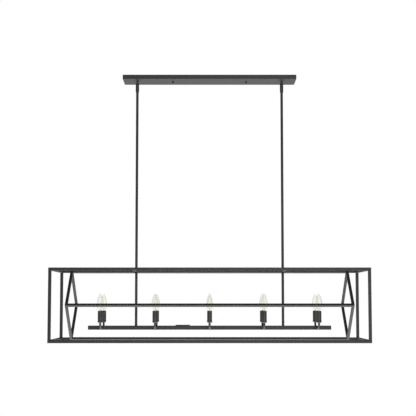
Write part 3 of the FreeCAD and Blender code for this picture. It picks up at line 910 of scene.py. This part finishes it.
class PENDANT_OT_lamp_mounts(bpy.types.Operator):
    """Build the glass stem, support wires and lit coil of each lamp"""

    bl_idname = "pendant.lamp_mounts"
    bl_label = "Lamp mounts"

    def stem(self, sizes, glass):
        """A flared glass stem, pinched flat at its top."""
        top = sizes.stem_height
        outline = [
            (0.0, 0.2 * MM),
            (5.0 * MM, 0.2 * MM),
            (4.9 * MM, 0.8 * MM),
            (2.6 * MM, 2.4 * MM),
            (1.8 * MM, 5.0 * MM),
            (1.7 * MM, 0.75 * top),
            (1.6 * MM, 0.95 * top),
            (1.0 * MM, top),
            (0.0, top),
        ]
        stem = turn("stem", outline, 16)
        for vertex in stem.data.vertices:
            if vertex.co.z > 0.7 * top:
                vertex.co.x *= STEM_PINCH[0]
                vertex.co.y *= STEM_PINCH[1]
        coat(smooth(stem, 60), glass)
        return stem

    def coil(self, half, level):
        """Points of a coil in a low arch between the tops of the support wires."""
        points = []
        for n in range(COIL_TURNS * COIL_TURN_POINTS + 1):
            share = n / (COIL_TURNS * COIL_TURN_POINTS)
            angle = 2 * math.pi * n / COIL_TURN_POINTS
            rise = COIL_RISE * math.sin(math.pi * share)
            points.append(
                (
                    half * (2 * share - 1),
                    COIL_RADIUS * math.cos(angle),
                    level + rise + COIL_RADIUS * math.sin(angle),
                )
            )
        return points

    def light(self, scene, number, level):
        """The light that one lamp gives, hidden in reflections and through glass."""
        light = bpy.data.lights.new(f"lamp_light_{number}", "POINT")
        light.color = scene.pendant_colours.glow[:3]
        light.energy = LAMP_POWER
        light.shadow_soft_size = LAMP_LIGHT_RADIUS
        holder = bpy.data.objects.new(light.name, light)
        scene.collection.objects.link(holder)
        height = level + LAMP_LIGHT_RISE
        holder.location = lamp_axis(number) + Vector((0, 0, height))
        holder.visible_glossy = False
        holder.visible_transmission = False
        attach(holder, f"bulb_{number}")

    def execute(self, context):
        sizes = context.scene.pendant_lamp
        colours = context.scene.pendant_colours
        glass = bpy.data.materials["clear_blown_glass"]
        nickel = bpy.data.materials["nickel_plated_shell"]
        stem = self.stem(sizes, glass)
        half = sizes.filament_spread / 2
        level = sizes.filament_height
        parts = [stem]
        for side in (-1, 1):
            places = [
                (side * 1.2 * MM, 0, sizes.stem_height - 3 * MM),
                (side * 1.4 * MM, 0, sizes.stem_height + 1 * MM),
                (side * half * 0.9, 0, level - 2.5 * MM),
                (side * half, 0, level),
            ]
            lead = wire("support", places, SUPPORT_RADIUS, 4)
            coat(smooth(lead, 60), nickel)
            parts.append(lead)
        mount = join("lamp_mount", *parts)
        place_lamp_pieces(mount, "lamp_mount")
        filament = wire("lamp_filament", self.coil(half, level), COIL_WIRE_RADIUS, 1)
        coat(smooth(filament, 60), hot_filament(colours))
        place_lamp_pieces(filament, "lamp_filament")
        for number in LAMPS:
            self.light(context.scene, number, level)
        return {"FINISHED"}


class PENDANT_OT_wire_connectors(bpy.types.Operator):
    """Mould the three ribbed twist-on connectors"""

    bl_idname = "pendant.wire_connectors"
    bl_label = "Wire connectors"

    def execute(self, context):
        sizes = context.scene.pendant_wiring
        length = CONNECTOR_LENGTH
        mouth = CONNECTOR_MOUTH / 2 - sizes.connector_rib_height
        tip = CONNECTOR_TIP / 2 - sizes.connector_rib_height
        skirt = 2 * MM
        nose = length - 2 * MM
        outline = [
            (0.0, 0.5 * length),
            (1.5 * MM, 0.5 * length),
            (mouth - 1.0 * MM, 0.3 * MM),
            (mouth - 0.7 * MM, 0.0),
            (mouth + 0.3 * MM, 0.0),
            (CONNECTOR_MOUTH / 2, 0.4 * MM),
            (CONNECTOR_MOUTH / 2, skirt - 0.4 * MM),
            (mouth, skirt),
            (tip, nose),
            (tip - 0.6 * MM, length - 0.5 * MM),
            (tip - 1.4 * MM, length),
            (0.0, length),
        ]
        steps = 4 * sizes.connector_ribs
        cone = turn("wire_connector", outline, steps)
        for face in cone.data.polygons:
            turned = math.atan2(face.center.y, face.center.x) / (2 * math.pi)
            rib = math.floor(turned * steps) % 4 < 2
            outer = math.hypot(face.center.x, face.center.y) > tip - 0.2 * MM
            face.select = rib and outer and skirt < face.center.z < nose
        bpy.ops.object.mode_set(mode="EDIT")
        bpy.ops.mesh.select_mode(type="FACE")
        bpy.ops.mesh.extrude_region_shrink_fatten(
            TRANSFORM_OT_shrink_fatten={"value": 0.8 * sizes.connector_rib_height}
        )
        bpy.ops.object.mode_set(mode="OBJECT")
        smooth(cone, 40)
        plastic = moulded(
            "moulded_polypropylene",
            context.scene.pendant_colours.connector,
            0.4,
            0.6 * MM,
            0.05 * MM,
        )
        coat(cone, plastic)
        middle = (CONNECTOR_LOW.z + CONNECTOR_HIGH.z) / 2
        rows = ((-1, CONNECTOR_HIGH.y), (-1, CONNECTOR_LOW.y), (1, CONNECTOR_HIGH.y))
        reach = -CONNECTOR_LOW.x
        for number, (side, edge_y) in enumerate(rows, start=1):
            y = edge_y - math.copysign(CONNECTOR_MOUTH / 2, edge_y)
            take(cone)
            bpy.ops.object.duplicate(linked=False)
            piece = name_piece(bpy.context.object, f"wire_connector_{number}")
            piece.rotation_euler = (0, -side * math.pi / 2, 0)
            piece.location = (side * reach, y, middle)
            settle(piece)
            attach(piece, CEILING)
            if number == 1:
                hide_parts("wire_connectors")
        bpy.data.objects.remove(cone)
        return {"FINISHED"}


class PENDANT_OT_supply_leads(bpy.types.Operator):
    """Lay the three insulated leads from the balls to the connectors"""

    bl_idname = "pendant.supply_leads"
    bl_label = "Supply leads"

    def route(self, aside, edge, end):
        """From over a ball to the canopy's back edge and along it to a connector."""
        turned = BALL_X - LEAD_TURN - aside
        return [
            (BALL_X, -aside, LEAD_TOP),
            (turned + 6, -aside, LEAD_TOP),
            (turned - 3, 1.5 - aside, LEAD_TOP - 0.5),
            (turned - 26, edge / 2, (LEAD_TOP + LEAD_FLOOR) / 2 + 0.1),
            (turned - 49, edge - 2, LEAD_FLOOR + 0.7),
            (turned - 58, edge, LEAD_FLOOR),
            (LEAD_END + 60, edge, LEAD_FLOOR),
            (LEAD_END + 48, edge - 3, LEAD_FLOOR + 0.2),
            (LEAD_END + 32, (edge + end) / 2, -16),
            (LEAD_END + 16, end + 2, LEAD_END_LEVEL - 0.3),
            (LEAD_END + 8, end, LEAD_END_LEVEL),
            (LEAD_END, end, LEAD_END_LEVEL),
        ]

    def execute(self, context):
        colours = context.scene.pendant_colours
        # Side, shift over the ball, run at the back edge and connector's row
        rows = (
            (-1, 0.0, 46.8, 10, "live", colours.live),
            (-1, 3.1, 40.8, -10, "neutral", colours.neutral),
            (1, 0.0, 46.8, 10, "earth", colours.earth),
        )
        for side, aside, edge, end, name, colour in rows:
            route = self.route(aside, edge, end)
            places = [(side * x * MM, y * MM, z * MM) for x, y, z in route]
            radius = context.scene.pendant_wiring.lead_diameter / 2
            lead = wire(f"supply_lead_{name}", places, radius, 6)
            lead = smooth(name_piece(lead, f"supply_lead_{name}"), 60)
            coat(lead, moulded(f"vinyl_{name}", colour, 0.42, 1.2 * MM, 0.04 * MM))
            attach(lead, CEILING)
            if name == "live":
                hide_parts("supply_leads")
        return {"FINISHED"}


class PENDANT_OT_ground_screw(bpy.types.Operator):
    """Turn the slotted earth screw with its washer head"""

    bl_idname = "pendant.ground_screw"
    bl_label = "Earth screw"

    def execute(self, context):
        sizes = context.scene.pendant_wiring
        low, high = SCREW_LOW, SCREW_HIGH
        middle = (low + high) / 2
        head = (high.x - low.x) / 2
        shank = SCREW_RADIUS
        hexagon_top = low.z + HEXAGON_HEIGHT
        washer_top = low.z + SCREW_HEAD_HEIGHT
        thread = [
            (shank, washer_top + (high.z - 0.4 * MM - washer_top) * n / SCREW_RINGS)
            for n in range(SCREW_RINGS + 1)
        ]
        foot = [(0.0, washer_top - 0.3 * MM), (shank, washer_top - 0.3 * MM)]
        point = [(shank - 0.4 * MM, high.z), (0.0, high.z)]
        body = turn("screw_shank", foot + thread + point, 20)
        cut_thread(body, washer_top, high.z, SCREW_PITCH, 0.3 * MM)
        washer = turn(
            "screw_washer",
            [
                (0.0, hexagon_top - 0.1 * MM),
                (head - 0.1 * MM, hexagon_top - 0.1 * MM),
                (head, hexagon_top + 0.2 * MM),
                (head - 0.3 * MM, washer_top),
                (0.0, washer_top),
            ],
            32,
        )
        deselect()
        bpy.ops.mesh.primitive_cylinder_add(
            vertices=6,
            radius=head - 0.6 * MM,
            depth=HEXAGON_HEIGHT,
            location=(0, 0, hexagon_top - HEXAGON_HEIGHT / 2),
        )
        hexagon = bpy.context.object
        settle(hexagon)
        edge = hexagon.modifiers.new("edge", "BEVEL")
        edge.width = 0.25 * MM
        edge.segments = 2
        apply_modifiers(hexagon)
        deselect()
        bpy.ops.mesh.primitive_cube_add(size=1, location=(0, 0, low.z))
        cutter = bpy.context.object
        cutter.scale = (3 * head, sizes.screw_slot, 2.0 * MM)
        settle(cutter)
        slot = hexagon.modifiers.new("slot", "BOOLEAN")
        slot.operation = "DIFFERENCE"
        slot.object = cutter
        apply_modifiers(hexagon)
        bpy.data.objects.remove(cutter)
        screw = join("ground_screw_slotted", body, washer, hexagon)
        take(screw)
        bpy.ops.transform.translate(value=(middle.x, middle.y, 0))
        settle(screw)
        smooth(screw, 35)
        lacquer = plated_metal(
            "green_lacquered_zinc", context.scene.pendant_colours.ground, 0.3, 0.45, 500
        )
        coat(screw, lacquer)
        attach(screw, CEILING)
        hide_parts("ground_screw")
        return {"FINISHED"}


class PENDANT_OT_coated_steel(bpy.types.Operator):
    """Powder coat the frame, rods, canopy, bar and cups"""

    bl_idname = "pendant.coated_steel"
    bl_label = "Coated steel"

    def execute(self, context):
        material = powder_coat(context.scene.pendant_colours)
        for name in COATED_NODES:
            coat(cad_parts[name], material)
        coat(
            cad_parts["candle_sleeves"],
            sleeve_paint(context.scene.pendant_colours),
        )
        return {"FINISHED"}


class PENDANT_OT_fittings(bpy.types.Operator):
    """Finish the plated fittings, the sockets and the wiring"""

    bl_idname = "pendant.fittings"
    bl_label = "Fittings and wiring"

    def execute(self, context):
        colours = context.scene.pendant_colours
        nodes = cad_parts
        zinc = plated_metal("zinc_plated_steel", colours.zinc, 0.28, 0.45, 220)
        for name in ZINC_NODES:
            coat(nodes[name], zinc)
        coat(nodes["mounting_studs"], threaded_zinc(colours))
        phenolic = moulded(
            "moulded_phenolic", colours.phenolic, 0.38, 0.8 * MM, 0.05 * MM
        )
        coat(nodes["lamp_sockets"], phenolic)
        vinyl = moulded(
            "vinyl_insulation", colours.insulation, 0.45, 1.2 * MM, 0.04 * MM
        )
        coat(nodes["wiring_harness"], vinyl)
        return {"FINISHED"}


class PENDANT_OT_stage(bpy.types.Operator):
    """Set up the floor, the soft light, the background and the camera"""

    bl_idname = "pendant.stage"
    bl_label = "Stage"

    def background(self, scene):
        """White to the camera, and dark overhead in reflections and as light."""
        world = bpy.data.worlds.new("studio_background")
        scene.world = world
        world.use_nodes = True
        tree = world.node_tree
        tree.nodes.clear()
        output = add(tree, "OutputWorld")
        rays = add(tree, "LightPath")
        seen = add(
            tree,
            "Math",
            {0: rays.outputs["Is Camera Ray"], 1: rays.outputs["Is Transmission Ray"]},
            operation="MAXIMUM",
        )
        aim = add(tree, "TexCoord").outputs["Generated"]
        height = add(tree, "SeparateXYZ", {"Vector": aim}).outputs["Z"]
        dim = add(
            tree,
            "MapRange",
            {
                "Value": height,
                "From Min": SKY_FADE[0],
                "From Max": SKY_FADE[1],
                "To Min": 1.0,
                "To Max": SKY_OVERHEAD,
            },
        )
        spread = add(
            tree,
            "MapRange",
            {
                "Value": rays.outputs["Is Glossy Ray"],
                "To Min": SKY_AS_LIGHT,
                "To Max": SKY_IN_GLOSS,
            },
        )
        soft = add(
            tree,
            "Math",
            {0: dim.outputs["Result"], 1: spread.outputs["Result"]},
            operation="MULTIPLY",
        )
        strength = add(
            tree,
            "Math",
            {0: soft.outputs[0], 1: seen.outputs[0]},
            operation="MAXIMUM",
        )
        light = add(
            tree,
            "Background",
            {"Color": (1, 1, 1, 1), "Strength": strength.outputs[0]},
        )
        tree.links.new(light.outputs["Background"], output.inputs["Surface"])

    def light(self, scene, name, place, size, energy):
        """A soft square light that shows neither to the camera nor through glass."""
        light = bpy.data.lights.new(name, "AREA")
        light.size = size
        light.energy = energy
        holder = bpy.data.objects.new(name, light)
        scene.collection.objects.link(holder)
        holder.location = place
        aim = Vector(LIGHT_TARGET) - Vector(place)
        holder.rotation_euler = aim.to_track_quat("-Z", "Y").to_euler()
        holder.visible_camera = False
        holder.visible_transmission = False

    def execute(self, context):
        scene = context.scene
        studio = scene.pendant_studio
        scene.view_settings.view_transform = "Standard"
        self.background(scene)
        deselect()
        bpy.ops.mesh.primitive_plane_add(
            size=FLOOR_SIDE, location=(0, 0, -studio.floor_drop)
        )
        floor = name_piece(bpy.context.object, "studio_floor")
        coat(floor, floor_paint(scene.pendant_colours))
        for name, place, size, energy in STUDIO_LIGHTS:
            self.light(scene, name, place, size, energy)
        bpy.ops.object.camera_add(
            location=(
                studio.camera_aside,
                -studio.camera_distance,
                -studio.camera_drop,
            ),
            rotation=(math.pi / 2 + studio.camera_tilt, 0, 0),
        )
        camera = bpy.context.object
        camera.data.sensor_width = 36
        camera.data.lens = studio.focal_length
        camera.data.shift_x, camera.data.shift_y = CAMERA_SHIFT
        scene.camera = camera
        return {"FINISHED"}


class VIEW3D_PT_pendant(bpy.types.Panel):
    """Pieces and sizes of the pendant"""

    bl_label = "Linear island pendant"
    bl_idname = "VIEW3D_PT_pendant"
    bl_space_type = "VIEW_3D"
    bl_region_type = "UI"
    bl_category = "Pendant"

    def draw(self, context):
        layout = self.layout
        for operator in OPERATORS:
            layout.operator(operator.bl_idname)
        for name in GROUPS:
            box = layout.box()
            group = getattr(context.scene, name)
            for prop in group.bl_rna.properties:
                if prop.identifier not in ("rna_type", "name"):
                    box.prop(group, prop.identifier)


OPERATORS = (
    PENDANT_OT_lamp_glass,
    PENDANT_OT_lamp_bases,
    PENDANT_OT_lamp_mounts,
    PENDANT_OT_wire_connectors,
    PENDANT_OT_supply_leads,
    PENDANT_OT_ground_screw,
    PENDANT_OT_coated_steel,
    PENDANT_OT_fittings,
    PENDANT_OT_stage,
)
GROUPS = {
    "pendant_lamp": PendantLampSizes,
    "pendant_wiring": PendantWiringSizes,
    "pendant_colours": PendantColours,
    "pendant_studio": PendantStudio,
}


def register():
    """Adds the classes and their properties to Blender."""
    for group in GROUPS.values():
        bpy.utils.register_class(group)
    for name, group in GROUPS.items():
        setattr(bpy.types.Scene, name, bpy.props.PointerProperty(type=group))
    for operator in OPERATORS:
        bpy.utils.register_class(operator)
    bpy.utils.register_class(VIEW3D_PT_pendant)


def unregister():
    """Takes them away again."""
    bpy.utils.unregister_class(VIEW3D_PT_pendant)
    for operator in reversed(OPERATORS):
        bpy.utils.unregister_class(operator)
    for name, group in reversed(GROUPS.items()):
        delattr(bpy.types.Scene, name)
        bpy.utils.unregister_class(group)


def main():
    """Builds every piece."""
    register()
    bpy.ops.pendant.lamp_glass()
    bpy.ops.pendant.lamp_bases()
    bpy.ops.pendant.lamp_mounts()
    bpy.ops.pendant.wire_connectors()
    bpy.ops.pendant.supply_leads()
    bpy.ops.pendant.ground_screw()
    bpy.ops.pendant.coated_steel()
    bpy.ops.pendant.fittings()
    bpy.ops.pendant.stage()


if __name__ == "__main__":
    main()
